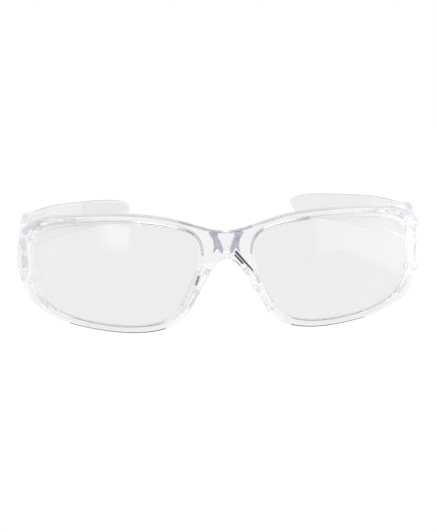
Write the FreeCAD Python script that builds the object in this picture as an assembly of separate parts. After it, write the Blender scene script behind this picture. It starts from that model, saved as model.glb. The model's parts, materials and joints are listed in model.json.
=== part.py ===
import FreeCAD, Part
import math
import os

# Clear over-glasses safety spectacles, in millimetres.
#
# Everything is drawn in the front's own frame: X across the face, Y back towards the ears,
# Z up along the front, with the lens bottoms at Z = 0. The whole model is then leaned back
# as it stands on a table, on its rims and temple tips, with +Z up. The origin ends up on the
# table in the middle of the footprint.
# Names say right and left as the wearer has them, so right is -X and left is +X.

Vector = FreeCAD.Vector

# Attitude on the table
LEAN_DEG = 7.23

# Spherical wrap of the front: every front surface is a sphere about this centre
WRAP_CENTRE = Vector(0, 100.0, 26.0)
RIM_FRONT_RADIUS = 101.2
LENS_FRONT_RADIUS = 100.0
LENS_BACK_RADIUS = 97.8
RIM_BACK_RADIUS = 96.4

# Lens seat
LENS_BITE = 1.1
SEAT_CLEARANCE = 0.06

# Brow blocks that stiffen the wrapped ends, and the post behind the bridge
BLOCK_BACK_RADIUS = 93.2
BLOCK_OVERLAP = 0.5
POST_FRONT_Y = 2.0
POST_BACK_Y = 7.5

# Hinge: one upright axis at each end of the front
AXIS_X = 75.2
AXIS_Y = 45.5
BARREL_RADIUS = 2.4
HINGE_GAP = 0.4
LUG_HEIGHT = 3.0
LUG_WEB_INNER_REACH = 10.0
LUG_WEB_OUTER_REACH = 4.5
LOWER_LUG_BOTTOM = 13.6
UPPER_LUG_BOTTOM = 30.4
PIN_RADIUS = 0.9
PIN_HEAD_RADIUS = 1.4
PIN_HEAD_HEIGHT = 0.7
PIN_REACH = 5.0
PRESS_CLEARANCE = 0.01
RUNNING_CLEARANCE = 0.05

# Temple
TEMPLE_THICKNESS = 2.6
TEMPLE_FRONT_Y = 44.4
PANEL_DEPTH = 0.3

# Nose flanges and pads
FLANGE_THICKNESS = 1.5
FLANGE_SPLAY = Vector(2.4, 7.0, 0)
FLANGE_START_Y = 3.0
FLANGE_BOTTOM = 8.5
FLANGE_TOP = 24.5
PAD_THICKNESS = 1.3
PAD_BOTTOM = 10.0
PAD_TOP = 22.5
PAD_START_Y = 6.7
PAD_LENGTH_SHARE = 0.55
PAD_CLEARANCE = 0.05
STUD_RADIUS = 1.0
STUD_REACH = 2.3
STUD_X = 9.6
STUD_SHARE = 0.62
STUD_DIRECTION = Vector(0.9, -0.3, 0.32)

# Plane in front of everything that outlines are drawn in, and the half thickness of a slab about it
DRAWING_Y = -5.0
SLAB_HALF = 1.0

# Far enough to pass right through the front in any direction, and how far a cut runs past a face
BEYOND = 90.0
CUT_MARGIN = 1.0

# Wide enough for the nose opening, from its middle
NOSE_HALF_WIDTH = 30.0

# Edges that a smooth curve is made in, and points along the temple's curve
CURVE_STRETCHES = 4
PLAN_STEPS = 8

# Half outline of the front (X, Z), from the middle of the brow round to the nose arch
HALF_OUTLINE = [
    (0, 38.1),
    (9, 39.8),
    (20, 42.7),
    (32, 43.9),
    (46, 43.2),
    (60, 41.4),
    (70, 38.7),
    (75.9, 33.6),
    (78.2, 25.5),
    (77.7, 15.5),
    (73.4, 6.9),
    (63, 1.8),
    (46, 0.0),
    (29, 0.8),
    (17.6, 5.3),
    (12.1, 12.2),
    (8.2, 20.0),
    (4.6, 25.8),
    (0, 29.1),
]

# Lens opening (X, Z), anticlockwise from the nose side
LENS_OPENING = [
    (9.2, 32.5),
    (9.6, 27.0),
    (11.6, 20.2),
    (15.0, 12.9),
    (20.4, 6.9),
    (30, 3.2),
    (45, 2.4),
    (59, 4.0),
    (67, 7.8),
    (70.4, 14.5),
    (71.0, 23.0),
    (70.3, 30.0),
    (66.0, 35.2),
    (57, 38.4),
    (44, 40.4),
    (30, 40.8),
    (17, 39.3),
    (10.9, 36.6),
]

# Temple: outer face in plan (X, Y) as Bezier poles, top and bottom edges (Y, Z)
TEMPLE_PLAN_POLES = [(78.0, TEMPLE_FRONT_Y), (79.8, 74.0), (76.2, 122.0), (39.0, 149.2)]
TEMPLE_TOP = [(TEMPLE_FRONT_Y, 31.0), (47.6, 35.2), (54, 36.6), (64, 35.5), (90, 33.0), (137, 27.2)]
TEMPLE_TIP = [(137, 27.2), (144.2, 25.2), (147.3, 22.4), (145.6, 17.8), (140, 15.3)]
TEMPLE_BOTTOM = [
    (140, 15.3),
    (128, 15.5),
    (110, 16.4),
    (90, 18.1),
    (72, 19.4),
    (59, 19.2),
    (50, 17.4),
    (TEMPLE_FRONT_Y, 17.0),
]

# Sunk panel near the tip of the right temple, on its inner face (Y, Z)
PANEL = [(121.5, 28.7), (143.2, 24.6), (145.0, 22.2), (143.8, 19.4), (121.5, 22.6)]

# Brow block and lower lug root (X, Z), and the hourglass post in the middle of the bridge
BROW_BLOCK = [(46, 41.9), (70, 37.6), (75.4, 33.2), (75.4, 30.4), (71.2, 30.4), (68.6, 34.4), (58, 39.0)]
LOWER_BLOCK = [(71.6, 16.6), (76.8, 16.6), (76.4, 13.4), (71.2, 12.6)]
HALF_POST = [(0, 30.0), (1.2, 30.0), (1.3, 32.4), (3.1, 36.6), (1.8, 37.5), (0, 37.5)]


def sphere_shell(outer_radius, inner_radius):
    """Solid between two spheres about the wrap centre."""
    outer = Part.makeSphere(outer_radius, WRAP_CENTRE)
    return outer.cut(Part.makeSphere(inner_radius, WRAP_CENTRE))


def upright(points, y=DRAWING_Y):
    """(X, Z) pairs as points of the plane Y = y."""
    return [Vector(x, y, z) for x, z in points]


def polygon_face(points):
    """Flat face with straight sides."""
    return Part.Face(Part.makePolygon(points + points[:1]))


def in_stretches(curve):
    """Smooth curve as a few edges end to end, which keeps the solids' volumes exact."""
    first = curve.FirstParameter
    step = (curve.LastParameter - first) / CURVE_STRETCHES
    return [
        curve.toShape(first + index * step, first + (index + 1) * step)
        for index in range(CURVE_STRETCHES)
    ]


def spline_edges(points):
    """Edges of an open smooth curve through points."""
    curve = Part.BSplineCurve()
    curve.interpolate(Points=points)
    return in_stretches(curve)


def closed_spline_face(points):
    """Flat face inside a closed smooth curve through points."""
    curve = Part.BSplineCurve()
    curve.interpolate(Points=points, PeriodicFlag=True)
    return Part.Face(Part.Wire(in_stretches(curve)))


def box_between(low, high):
    """Box between two corners."""
    size = Vector(*high) - Vector(*low)
    return Part.makeBox(size.x, size.y, size.z, Vector(*low))


def mirrored(shape):
    """The same shape on the other side of the face."""
    return shape.mirror(Vector(0, 0, 0), Vector(1, 0, 0))


def straight_back(face):
    """Face of the plane in front of the spectacles, extruded back right through them."""
    return face.extrude(Vector(0, BEYOND, 0))


def grown(points, distance):
    """Closed (X, Z) outline, drawn anticlockwise, moved outwards along its normals."""
    moved = []
    for index, (x, z) in enumerate(points):
        before = points[index - 1]
        after = points[(index + 1) % len(points)]
        along_x = after[0] - before[0]
        along_z = after[1] - before[1]
        length = math.hypot(along_x, along_z)
        moved.append((x + distance * along_z / length, z - distance * along_x / length))
    return moved


def half_outline_face():
    """Left half of the front's outline, closed down the middle."""
    points = upright(HALF_OUTLINE)
    curve = Part.BSplineCurve()
    curve.interpolate(
        Points=points,
        InitialTangent=Vector(1, 0, 0),
        FinalTangent=Vector(-1, 0, 0),
    )
    middle = Part.makeLine(points[-1], points[0])
    return Part.Face(Part.Wire(in_stretches(curve) + [middle]))


def nose_opening_face(inset):
    """The nose arch as a face, drawn in from its edge by inset, or out if it is negative."""
    flank = [(x, z) for x, z in HALF_OUTLINE if 4 < z < 29 and x < 20]
    bottom_z = flank[0][1]
    arch = flank + [HALF_OUTLINE[-1]] + [(-x, z) for x, z in reversed(flank)]
    if inset:
        arch = grown(arch, -inset)
    below = bottom_z - 2 * CUT_MARGIN
    arch = [(arch[0][0], below)] + arch + [(arch[-1][0], below)]
    curve = spline_edges(upright(arch[1:-1]))
    ends = upright([arch[-2], arch[-1], arch[0], arch[1]])
    return Part.Face(Part.Wire(curve + Part.makePolygon(ends).Edges))


def lens():
    """Left lens, with the edge that sits in the groove of the front."""
    outline = closed_spline_face(upright(grown(LENS_OPENING, LENS_BITE)))
    return straight_back(outline).common(sphere_shell(LENS_FRONT_RADIUS, LENS_BACK_RADIUS))


def lens_room():
    """What the front leaves free for the left lens: the opening and its groove."""
    outline = closed_spline_face(upright(grown(LENS_OPENING, LENS_BITE + SEAT_CLEARANCE)))
    groove = straight_back(outline).common(
        sphere_shell(LENS_FRONT_RADIUS + SEAT_CLEARANCE, LENS_BACK_RADIUS - SEAT_CLEARANCE)
    )
    return straight_back(closed_spline_face(upright(LENS_OPENING))).fuse(groove)


def lug(bottom):
    """Hinge lug: a web from the wrapped end to a boss about the hinge axis."""
    web_points = [
        Vector(AXIS_X - BARREL_RADIUS, AXIS_Y, bottom),
        Vector(AXIS_X - BARREL_RADIUS, AXIS_Y - LUG_WEB_INNER_REACH, bottom),
        Vector(AXIS_X + BARREL_RADIUS, AXIS_Y - LUG_WEB_OUTER_REACH, bottom),
        Vector(AXIS_X + BARREL_RADIUS, AXIS_Y, bottom),
    ]
    web = polygon_face(web_points).extrude(Vector(0, 0, LUG_HEIGHT))
    boss = Part.makeCylinder(BARREL_RADIUS, LUG_HEIGHT, Vector(AXIS_X, AXIS_Y, bottom))
    return web.fuse(boss)


def pin(seat, direction):
    """Hinge pin: a head let into the lug's outer face at height seat, and a shank."""
    axis = Vector(0, 0, direction)
    start = Vector(AXIS_X, AXIS_Y, seat)
    head = Part.makeCylinder(PIN_HEAD_RADIUS, PIN_HEAD_HEIGHT, start, axis)
    shank = Part.makeCylinder(PIN_RADIUS, LUG_HEIGHT + HINGE_GAP + PIN_REACH, start, axis)
    return head.fuse(shank)


def pin_hole(seat, direction):
    """Stepped hole that holds a pin fast in its lug."""
    axis = Vector(0, 0, direction)
    start = Vector(AXIS_X, AXIS_Y, seat)
    head = Part.makeCylinder(
        PIN_HEAD_RADIUS + PRESS_CLEARANCE, PIN_HEAD_HEIGHT + PRESS_CLEARANCE, start, axis
    )
    shank = Part.makeCylinder(PIN_RADIUS + PRESS_CLEARANCE, LUG_HEIGHT, start, axis)
    return head.fuse(shank)


def nose_window(bottom, top):
    """Left side of the nose between two heights, as a slab about the drawing plane."""
    low = (0, DRAWING_Y - SLAB_HALF, bottom)
    return box_between(low, (NOSE_HALF_WIDTH, DRAWING_Y + SLAB_HALF, top))


def nose_flange():
    """Flange that runs back and outwards from the left side of the nose arch."""
    ring = nose_opening_face(-FLANGE_THICKNESS).cut(nose_opening_face(0))
    face = ring.common(nose_window(FLANGE_BOTTOM, FLANGE_TOP))
    face.translate(Vector(0, FLANGE_START_Y - DRAWING_Y, 0))
    return face.extrude(FLANGE_SPLAY)


def stud_line():
    """Middle of the left pad on its flange, and the direction from the nose outwards."""
    height = (PAD_BOTTOM + PAD_TOP) / 2
    point = Vector(STUD_X, FLANGE_START_Y + FLANGE_SPLAY.y * STUD_SHARE, height)
    return point, STUD_DIRECTION


def nose_pad():
    """Soft left nose pad, with the stud that holds it in the flange."""
    ring = nose_opening_face(PAD_CLEARANCE).cut(nose_opening_face(PAD_CLEARANCE + PAD_THICKNESS))
    face = ring.common(nose_window(PAD_BOTTOM, PAD_TOP))
    share = (PAD_START_Y - FLANGE_START_Y) / FLANGE_SPLAY.y
    face.translate(FLANGE_SPLAY * share + Vector(0, FLANGE_START_Y - DRAWING_Y, 0))
    blade = face.extrude(FLANGE_SPLAY * PAD_LENGTH_SHARE)
    point, outwards = stud_line()
    stud = Part.makeCylinder(STUD_RADIUS, STUD_REACH, point, outwards)
    return blade.fuse(stud)


def front_frame():
    """One-piece front: rims, brow, bridge, nose flanges, wrapped ends and hinge lugs."""
    half = straight_back(half_outline_face()).common(
        sphere_shell(RIM_FRONT_RADIUS, RIM_BACK_RADIUS)
    )
    half = half.cut(lens_room())
    block_shell = sphere_shell(RIM_BACK_RADIUS + BLOCK_OVERLAP, BLOCK_BACK_RADIUS)
    for corner in (BROW_BLOCK, LOWER_BLOCK):
        half = half.fuse(straight_back(polygon_face(upright(corner))).common(block_shell))
    half = half.fuse(lug(LOWER_LUG_BOTTOM))
    half = half.fuse(lug(UPPER_LUG_BOTTOM))
    half = half.cut(pin_hole(UPPER_LUG_BOTTOM + LUG_HEIGHT, -1))
    half = half.cut(pin_hole(LOWER_LUG_BOTTOM, 1))
    half = half.fuse(nose_flange())
    post = polygon_face(upright(HALF_POST, POST_FRONT_Y))
    half = half.fuse(post.extrude(Vector(0, POST_BACK_Y - POST_FRONT_Y, 0)))
    point, outwards = stud_line()
    half = half.cut(
        Part.makeCylinder(STUD_RADIUS + PAD_CLEARANCE, STUD_REACH + CUT_MARGIN, point, outwards)
    )
    return half.fuse(mirrored(half)).removeSplitter()


def temple_plan(outer_offset, inner_offset):
    """Temple seen from above, between two offsets of its outer face."""
    curve = Part.BezierCurve()
    curve.setPoles([Vector(x, y, 0) for x, y in TEMPLE_PLAN_POLES])
    faces = []
    for offset in (outer_offset, inner_offset):
        points = []
        for step in range(PLAN_STEPS + 1):
            place = curve.value(step / PLAN_STEPS)
            along = curve.tangent(step / PLAN_STEPS)[0]
            points.append(place + Vector(-along.y, along.x, 0) * offset)
        faces.append(points)
    outer, inner = faces
    edges = spline_edges(outer)
    edges.append(Part.makeLine(outer[-1], inner[-1]))
    edges += spline_edges(inner[::-1])
    edges.append(Part.makeLine(inner[0], outer[0]))
    return Part.Face(Part.Wire(edges))


def temple_side():
    """Temple seen from the side, as a slab wide enough for its curve."""
    edges = []
    for stretch in (TEMPLE_TOP, TEMPLE_TIP, TEMPLE_BOTTOM):
        edges += spline_edges([Vector(0, y, z) for y, z in stretch])
    edges.append(Part.makeLine(edges[-1].Vertexes[-1].Point, edges[0].Vertexes[0].Point))
    return Part.Face(Part.Wire(edges)).extrude(Vector(BEYOND, 0, 0))


def temple():
    """Left side arm, with its hinge barrel and the notch that clears the upper lug."""
    plate = temple_plan(0, TEMPLE_THICKNESS).extrude(Vector(0, 0, BEYOND))
    plate = plate.common(temple_side())
    bottom = LOWER_LUG_BOTTOM + LUG_HEIGHT + HINGE_GAP
    top = UPPER_LUG_BOTTOM - HINGE_GAP
    barrel = Part.makeCylinder(BARREL_RADIUS, top - bottom, Vector(AXIS_X, AXIS_Y, bottom))
    notch = box_between(
        (0, TEMPLE_FRONT_Y - CUT_MARGIN, top),
        (BEYOND, AXIS_Y + BARREL_RADIUS + HINGE_GAP, BEYOND),
    )
    arm = plate.cut(notch).fuse(barrel)
    bore_radius = PIN_RADIUS + RUNNING_CLEARANCE
    depth = PIN_REACH + HINGE_GAP
    for start, direction in ((bottom, 1), (top, -1)):
        hole = Part.makeCylinder(
            bore_radius, depth, Vector(AXIS_X, AXIS_Y, start), Vector(0, 0, direction)
        )
        arm = arm.cut(hole)
    return arm


def panel_recess():
    """Shallow panel sunk into the inner face of a left temple."""
    skin = temple_plan(TEMPLE_THICKNESS - PANEL_DEPTH, TEMPLE_THICKNESS + CUT_MARGIN)
    side = polygon_face([Vector(0, y, z) for y, z in PANEL])
    return skin.extrude(Vector(0, 0, BEYOND)).common(side.extrude(Vector(BEYOND, 0, 0)))


def leaned(shape):
    """Shape turned back to the attitude in which the spectacles stand."""
    turned = shape.copy()
    turned.rotate(Vector(0, 0, 0), Vector(1, 0, 0), -LEAN_DEG)
    return turned


def main():
    left = {
        "lens": lens(),
        "nose_pad": nose_pad(),
        "temple": temple(),
        "upper_pin": pin(UPPER_LUG_BOTTOM + LUG_HEIGHT, -1),
        "lower_pin": pin(LOWER_LUG_BOTTOM, 1),
    }
    nodes = {"front_frame": front_frame()}
    for name, shape in left.items():
        nodes[name + "_left"] = shape
        nodes[name + "_right"] = mirrored(shape)
    nodes["temple_right"] = nodes["temple_right"].cut(mirrored(panel_recess()))
    nodes = {name: leaned(shape) for name, shape in nodes.items()}
    boxes = [shape.optimalBoundingBox(False, False) for shape in nodes.values()]
    front_y = min(box.YMin for box in boxes)
    back_y = max(box.YMax for box in boxes)
    to_origin = Vector(0, -(front_y + back_y) / 2, -min(box.ZMin for box in boxes))
    os.makedirs("parts", exist_ok=True)
    for name, shape in nodes.items():
        shape.translate(to_origin)
        shape.exportStep(f"parts/{name}.step")
        print(name, len(shape.Solids), shape.isValid(), round(shape.Volume, 1))
    print("moved to the origin by", to_origin)


main()
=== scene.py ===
import json
import math

import bmesh
import bpy
import numpy as np
from mathutils import Matrix, Vector


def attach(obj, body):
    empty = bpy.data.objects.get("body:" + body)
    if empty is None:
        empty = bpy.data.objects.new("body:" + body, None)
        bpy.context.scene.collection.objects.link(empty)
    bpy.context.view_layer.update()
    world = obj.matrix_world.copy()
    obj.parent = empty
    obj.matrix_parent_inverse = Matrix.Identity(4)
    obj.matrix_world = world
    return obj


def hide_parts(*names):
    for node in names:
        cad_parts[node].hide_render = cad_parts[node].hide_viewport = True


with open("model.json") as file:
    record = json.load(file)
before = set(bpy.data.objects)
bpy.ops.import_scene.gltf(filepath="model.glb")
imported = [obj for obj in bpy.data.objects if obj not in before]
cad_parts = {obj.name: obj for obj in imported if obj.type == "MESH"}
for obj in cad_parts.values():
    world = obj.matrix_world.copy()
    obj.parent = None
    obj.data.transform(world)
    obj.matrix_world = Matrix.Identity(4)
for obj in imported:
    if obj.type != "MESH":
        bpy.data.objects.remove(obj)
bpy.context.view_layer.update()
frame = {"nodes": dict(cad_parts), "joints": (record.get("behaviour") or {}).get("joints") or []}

# Clear over-glasses safety spectacles. Each piece is drawn in millimetres in the front's own
# frame, as the CAD draws it: X across the face, Y back towards the ears, Z up along the front.
# The hinge joint then says how far the front leans back and where it stands, so that every
# piece lands where its CAD node is. Right is -X and left is +X, as the wearer has them.

# Wrap of the front: every front surface is a sphere about this centre
WRAP_Y = 100.0
WRAP_Z = 26.0
RIM_FRONT_RADIUS = 101.2
LENS_FRONT_RADIUS = 100.0
LENS_BACK_RADIUS = 97.8
RIM_BACK_RADIUS = 96.4
BLOCK_BACK_RADIUS = 93.2
LENS_BITE = 1.1
SEAT_CLEARANCE = 0.06

# Edge rounding
FRONT_ROUND = 0.9
BACK_ROUND = 0.6
OPENING_ROUND = 0.45
LENS_EDGE_ROUND = 0.15
TEMPLE_ROUND = 1.15
BARREL_ROUND = 0.3
LUG_ROUND = 0.35
POST_ROUND = 0.4

# Hinge, with the same sizes at both ends of the front
HINGE_MIDDLE = Vector((75.2, 45.5, 23.5))
AXIS_X = HINGE_MIDDLE.x
AXIS_Y = HINGE_MIDDLE.y
BARREL_RADIUS = 2.4
LUG_HEIGHT = 3.0
LUG_WEB_INNER_REACH = 10.0
LUG_WEB_OUTER_REACH = 4.5
HINGE_GAP = 0.4
LOWER_LUG_BOTTOM = 13.6
UPPER_LUG_BOTTOM = 30.4
PIN_RADIUS = 0.9
PIN_HEAD_RADIUS = 1.4
PIN_HEAD_HEIGHT = 0.7
PIN_REACH = 5.0
PIN_CLEARANCE = 0.03
BORE_CLEARANCE = 0.05

# Temple
TEMPLE_THICKNESS = 2.6
TEMPLE_FRONT_Y = 44.4
PANEL_DEPTH = 0.3

# Nose flange and pad
FLANGE_THICKNESS = 1.5
FLANGE_SPLAY = np.array([2.4, 7.0, 0.0])
FLANGE_START_Y = 3.0
FLANGE_BOTTOM = 8.5
FLANGE_TOP = 24.5
FLANGE_SET_IN = 0.08
FLANGE_END_LOSS = 0.4
PAD_THICKNESS = 1.3
PAD_BOTTOM = 10.0
PAD_TOP = 22.5
PAD_START_SHARE = 0.53
PAD_LENGTH_SHARE = 0.55
PAD_CLEARANCE = 0.05
PAD_END_WIDTH = 0.72
STUD_RADIUS = 1.0
STUD_REACH = 2.3
STUD_X = 9.6
STUD_SHARE = 0.62
STUD_DIRECTION = (0.9, -0.3, 0.32)

# Post behind the bridge, how far the brow blocks run into the rim, and how far a cutting shape
# runs past a face
POST_FRONT_Y = 2.0
POST_BACK_Y = 7.5
BLOCK_OVERLAP = 0.5
CUT_MARGIN = 1.0

# Half outline of the front (X, Z), from the middle of the brow round to the nose arch
HALF_OUTLINE = [
    (0, 38.1), (9, 39.8), (20, 42.7), (32, 43.9), (46, 43.2), (60, 41.4), (70, 38.7),
    (75.9, 33.6), (78.2, 25.5), (77.7, 15.5), (73.4, 6.9), (63, 1.8), (46, 0.0), (29, 0.8),
    (17.6, 5.3), (12.1, 12.2), (8.2, 20.0), (4.6, 25.8), (0, 29.1),
]

# Lens opening (X, Z), anticlockwise from the nose side
LENS_OPENING = [
    (9.2, 32.5), (9.6, 27.0), (11.6, 20.2), (15.0, 12.9), (20.4, 6.9), (30, 3.2), (45, 2.4),
    (59, 4.0), (67, 7.8), (70.4, 14.5), (71.0, 23.0), (70.3, 30.0), (66.0, 35.2), (57, 38.4),
    (44, 40.4), (30, 40.8), (17, 39.3), (10.9, 36.6),
]
LENS_MIDDLE = np.array([40.0, 21.5])

# Temple: outer face in plan (X, Y) as Bezier poles; top and bottom edges (Y, Z) run to the tip
TEMPLE_PLAN_POLES = [(78.0, TEMPLE_FRONT_Y), (79.8, 74.0), (76.2, 122.0), (39.0, 149.2)]
TEMPLE_TIP = (146.7, 21.6)
TEMPLE_TOP = [
    (48.3, 35.4), (54, 36.6), (64, 35.5), (90, 33.0), (118, 29.8), (137, 27.2), (143.6, 25.3),
]
TEMPLE_BOTTOM = [
    (TEMPLE_FRONT_Y, 17.0), (50, 17.4), (59, 19.2), (72, 19.4), (90, 18.1), (110, 16.4),
    (128, 15.5), (139.5, 15.4), (144.6, 17.4),
]
NOTCH_BOTTOM = UPPER_LUG_BOTTOM - HINGE_GAP
NOTCH_BACK_Y = AXIS_Y + BARREL_RADIUS + HINGE_GAP

# Stretches of the front's lower rounded edge that carry a painted dark reflection: X from and to
PAINTED_SHADE_EDGES = [(-58, -22), (23, 52)]
PAINTED_SHADE_EDGE_TOP = 7.0

# Brow's top edge over the bridge, where the same satin violet painted shade goes too: X from and to
PAINTED_SHADE_TOPS = [(-16, -1.7), (1.7, 9)]

# Sunk panel near the tip of the right temple, on its inner face (Y, Z); its floor gets a darker
# painted shade
PANEL = [(121.5, 28.7), (143.2, 24.6), (145.0, 22.2), (143.8, 19.4), (121.5, 22.6)]

# Brow block: upper and lower edge (X, Z); lower lug root; hourglass post of the bridge
BROW_BLOCK_TOP = [(46, 41.9), (60, 40.2), (70, 37.6), (75.4, 33.2)]
BROW_BLOCK_BOTTOM = [(46, 41.9), (58, 39.0), (68.6, 34.4), (71.2, 30.9)]
LOWER_BLOCK_TOP = [(71.6, 16.6), (76.8, 16.6)]
LOWER_BLOCK_BOTTOM = [(71.2, 12.6), (76.4, 13.4)]
HALF_POST = [(1.2, 30.0), (1.3, 32.4), (3.1, 36.6), (1.8, 37.5)]

# Satin hollow in the back of the bridge, left of the post (X, Z), and how deep it is sunk; its floor
# gets a dark violet painted shade
BRIDGE_HOLLOW = [
    (7.2, 38.5), (5.7, 36.9), (4.6, 35.2), (4.3, 32.9), (4.7, 30.5), (3.2, 32.3), (1.9, 30.5),
    (0.8, 30.2), (0.8, 37.6), (2.0, 37.7),
]
HOLLOW_DEPTH = 0.7

# Narrow creases at the roots of the nose flanges (X, Z), and how deep they are; their floors carry
# near-black painted shade
CREASES = [
    [(9.0, 23.4), (2.7, 30.7), (3.4, 31.3), (9.2, 24.0)],
    [(5.3, 26.3), (2.5, 29.6), (3.0, 30.0), (6.0, 26.6)],
    [(10.8, 19.0), (9.6, 22.4), (10.0, 22.6), (11.2, 19.2)],
    [(-10.8, 19.0), (-9.6, 22.4), (-10.0, 22.6), (-11.2, 19.2)],
]
CREASE_DEPTH = 0.4

# Camera: where it stands about the front, its focal length and how far its picture is shifted
CAMERA_DISTANCE = 0.340
CAMERA_ELEVATION_DEG = 21.0
CAMERA_AZIMUTH_DEG = -3.14
CAMERA_ROLL_DEG = -0.78
CAMERA_AIM_MM = (0.0, -64.87, 27.46)
FOCAL_MM = 64.6
SENSOR_MM = 36.0
SHIFT = (-0.0151, -0.0074)

# Walls: the heights of direction between which their colour turns, and the two colours
WALL_HEIGHTS = (0.3, 0.9)
WALL_COLOURS = [(1, 1, 1, 1), (0.85, 0.85, 0.87, 1)]

# Soft round lamp overhead: where it starts and is full, as the height of its direction, and
# how much brighter than the walls it is
LAMP_EDGE = (0.90, 0.96)
LAMP_STRENGTH = 4.0

# Windows that the lenses mirror: the middle's direction in plan, where the near edge of each
# starts and is full on all four sides, as sines of angles from it (left, right, low, high), and
# how much brighter than the walls it is
WINDOWS = [
    (-139.3, (-0.24, 0.0), (0.13, 0.10), (-0.12, 0.04), (0.16, 0.12), 0.8),
    (-10.0, (-0.60, -0.50), (0.90, 0.70), (-0.30, -0.20), (0.50, 0.30), 0.45),
]

# Light that the second window throws on the table: how far it starts and is full to the right,
# and across a line from a point, in metres; the way across; and how much brighter it is
POOL_X = (0.093, 0.103)
POOL_ACROSS = (-0.005, 0.02)
POOL_POINT = Vector((0.108, -0.060, 0.0))
POOL_WAY = Vector((0.66, 0.75, 0.0))
POOL_BRIGHTNESS = 0.45

# Light table: how strongly it glows, and its half width in mm
FLOOR_GLOW = 1.02
FLOOR_REACH = 250.0

# Light runs far inside clear plastic before it leaves by an edge
LIGHT_BOUNCES = 64

# How much lighter the faint clouds in a plastic's tint are than the tint itself
CLOUD_LIFT = 0.03

# Temples' tint, whose grey kept on the upper part is painted shade: how steeply its lower limit
# drops towards the back, and the heights in metres between which it sets in
TINT_SLOPE = 0.37
TINT_HEIGHTS = (0.018, 0.026)

SHARP_ANGLE = math.radians(38)
WELD_MM = 0.002

# Where faces get a second material. A facing is how far a normal points one way, from -1 to 1
FLOOR_TOLERANCE = 0.02
GROOVE_TOLERANCE = 0.1
SQUARE_ON = 0.8
ACROSS_THE_GROOVE = 0.6
PAINTED_SHADE_EDGE_FACING = -0.3
PANEL_FACING = 0.97
HINGE_END_Y = 38.0
HOLLOW_HALF_WIDTH = BRIDGE_HOLLOW[0][0] + CUT_MARGIN
CREASES_HALF_WIDTH = 12.0
CREASES_BOTTOM = 17.0
FLANGES_HALF_WIDTH = 20.0
FLANGES_TOP = 27.0
BROW_BLOCK_X = (50.0, 72.0)
BROW_BLOCK_TOLERANCE = 0.3
PANEL_START_Y = PANEL[0][0] - CUT_MARGIN

# Rounded edges get a grey painted shade where they have turned this far away from the face or the
# side
OUTLINE_TURN = 0.8
OUTLINE_BROW_Z = 30.0
OUTLINE_END_X = 50.0
TEMPLE_TOP_TURN = 0.75
TEMPLE_TOP_START_Y = 58.0


# --- Curves -----------------------------------------------------------------------------

def spline(points, closed=False, start=None, end=None, density=160):
    """Dense points of the smooth cubic curve through points, with knots a chord apart."""
    points = np.array(points, float)
    if closed:
        points = np.vstack([points, points[:1]])
    chords = np.linalg.norm(np.diff(points, axis=0), axis=1)
    rises = np.diff(points, axis=0) / chords[:, None]
    count = len(points)
    system = np.zeros((count, count))
    target = np.zeros((count, 2))
    for i in range(1, count - 1):
        system[i, i - 1:i + 2] = chords[i], 2 * (chords[i - 1] + chords[i]), chords[i - 1]
        target[i] = 3 * (chords[i] * rises[i - 1] + chords[i - 1] * rises[i])
    if closed:
        system[0, [1, 0, -2]] = chords[-1], 2 * (chords[0] + chords[-1]), chords[0]
        target[0] = 3 * (chords[-1] * rises[0] + chords[0] * rises[-1])
        system[-1, [0, -1]] = 1, -1
    else:
        for row, inner, slope, rise in ((0, 1, start, rises[0]), (-1, -2, end, rises[-1])):
            system[row, row] = 1 if slope is not None else 2
            system[row, inner] = 0 if slope is not None else 1
            target[row] = slope if slope is not None else 3 * rise
    slopes = np.linalg.solve(system, target)
    shares = np.linspace(0, 1, density, endpoint=False)[:, None]
    parts = []
    for i, chord in enumerate(chords):
        square, cube = shares**2, shares**3
        parts.append(
            (2 * cube - 3 * square + 1) * points[i]
            + (cube - 2 * square + shares) * chord * slopes[i]
            + (3 * square - 2 * cube) * points[i + 1]
            + (cube - square) * chord * slopes[i + 1]
        )
    return np.vstack(parts + [points[-1:]])


def evenly(curve, count, closed=False):
    """Count points an equal length apart along a dense curve."""
    steps = np.linalg.norm(np.diff(curve, axis=0), axis=1)
    reach = np.concatenate([[0], np.cumsum(steps)])
    places = np.linspace(0, reach[-1], count, endpoint=not closed)
    return np.column_stack([np.interp(places, reach, column) for column in curve.T])


def outward(loop, closed):
    """Unit normals of a loop drawn clockwise, pointing away from what it encloses."""
    if closed:
        along = np.roll(loop, -1, axis=0) - np.roll(loop, 1, axis=0)
    else:
        along = np.gradient(loop, axis=0)
    normals = np.column_stack([-along[:, 1], along[:, 0]])
    return normals / np.linalg.norm(normals, axis=1)[:, None]


def on_sphere(loop, radius):
    """(X, Z) points carried straight back onto a sphere of the wrap."""
    loop = np.asarray(loop, float)
    depth = WRAP_Y - np.sqrt(radius**2 - loop[:, 0] ** 2 - (loop[:, 1] - WRAP_Z) ** 2)
    return np.column_stack([loop[:, 0], depth, loop[:, 1]])


def rounded(first, corner, last, steps=4):
    """Rows that turn smoothly from first to last, inside the corner between them."""
    shares = np.linspace(0, 1, steps + 1)
    return [
        (1 - t) ** 2 * first + 2 * t * (1 - t) * corner + t**2 * last for t in shares
    ]


def between(first, last, steps):
    """Evenly spaced rows from first to last, without the first."""
    return [first + (last - first) * k / steps for k in range(1, steps + 1)]


# --- Meshes -----------------------------------------------------------------------------

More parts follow.
